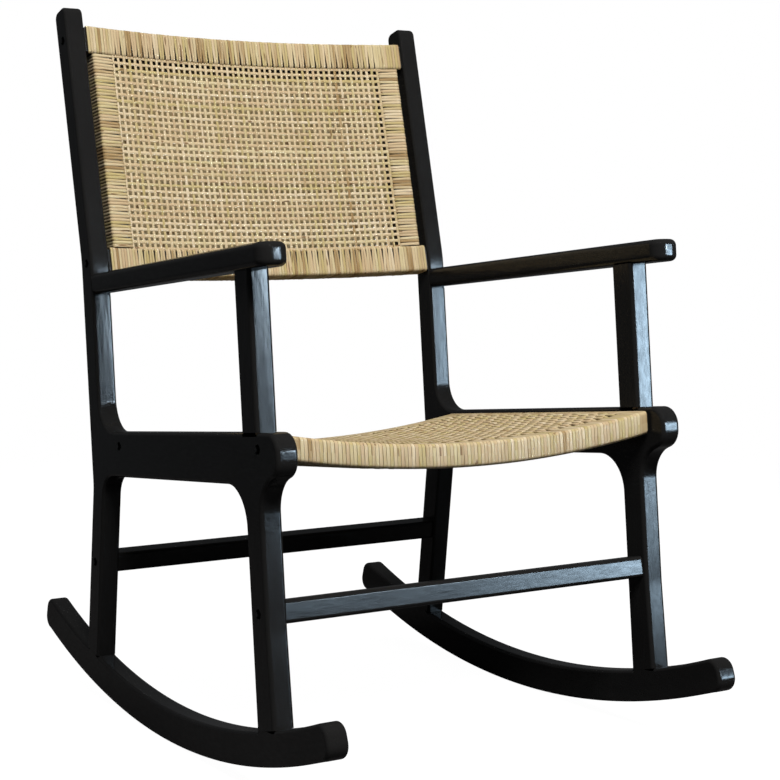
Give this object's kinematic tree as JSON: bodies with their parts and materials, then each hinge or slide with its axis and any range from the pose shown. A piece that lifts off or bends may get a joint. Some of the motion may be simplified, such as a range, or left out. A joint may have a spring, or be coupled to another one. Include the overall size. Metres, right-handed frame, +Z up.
{
  "type": "rocking chair",
  "caption": "Rocking chair with flat arms, lacquered wooden side frames on curved rockers, a dished woven rattan seat and a bowed, open double-caned back.",
  "frame": {"origin": "on the floor under the middle of the chair's box, midway between the rockers", "axes": "+X to the sitter's left, -Y to the front, +Z up"},
  "size_m": [0.6012, 0.8952, 0.9763],
  "materials": {
    "black_lacquer": "black satin lacquer on wood",
    "rattan_cane": "natural split rattan, lightly sealed",
    "core_wood": "black-stained wood under the cane",
    "dowel_wood": "bare dowel wood, glued in",
    "bolt_steel": "blackened steel"
  },
  "bodies": {
    "root": {"left_rear_post": "black_lacquer", "left_side_rail": "black_lacquer", "left_front_leg": "black_lacquer", "left_arm_post": "black_lacquer", "left_armrest": "black_lacquer", "left_rocker": "black_lacquer", "right_rear_post": "black_lacquer", "right_side_rail": "black_lacquer", "right_front_leg": "black_lacquer", "right_arm_post": "black_lacquer", "right_armrest": "black_lacquer", "right_rocker": "black_lacquer", "front_stretcher": "black_lacquer", "rear_stretcher": "black_lacquer", "seat_front_rail": "core_wood", "seat_rear_rail": "core_wood", "seat_left_bar": "core_wood", "seat_right_bar": "core_wood", "seat_weave": "rattan_cane", "back_top_rail": "core_wood", "back_bottom_rail": "core_wood", "back_left_stile": "core_wood", "back_right_stile": "core_wood", "back_top_winding": "rattan_cane", "back_bottom_winding": "rattan_cane", "back_left_winding": "rattan_cane", "back_right_winding": "rattan_cane", "back_front_cane": "rattan_cane", "back_rear_cane": "rattan_cane", "left_back_top_bolt": "bolt_steel", "left_back_bottom_bolt": "bolt_steel", "left_seat_front_bolt": "bolt_steel", "left_seat_rear_bolt": "bolt_steel", "left_front_stretcher_bolt": "bolt_steel", "left_rear_stretcher_bolt": "bolt_steel", "right_back_top_bolt": "bolt_steel", "right_back_bottom_bolt": "bolt_steel", "right_seat_front_bolt": "bolt_steel", "right_seat_rear_bolt": "bolt_steel", "right_front_stretcher_bolt": "bolt_steel", "right_rear_stretcher_bolt": "bolt_steel", "left_arm_front_dowel": "dowel_wood", "left_arm_rear_dowel": "dowel_wood", "left_arm_foot_dowel": "dowel_wood", "left_leg_head_dowel": "dowel_wood", "left_rail_rear_dowel": "dowel_wood", "left_front_foot_dowel": "dowel_wood", "left_rear_foot_dowel": "dowel_wood", "right_arm_front_dowel": "dowel_wood", "right_arm_rear_dowel": "dowel_wood", "right_arm_foot_dowel": "dowel_wood", "right_leg_head_dowel": "dowel_wood", "right_rail_rear_dowel": "dowel_wood", "right_front_foot_dowel": "dowel_wood", "right_rear_foot_dowel": "dowel_wood"}
  },
  "joints": []
}
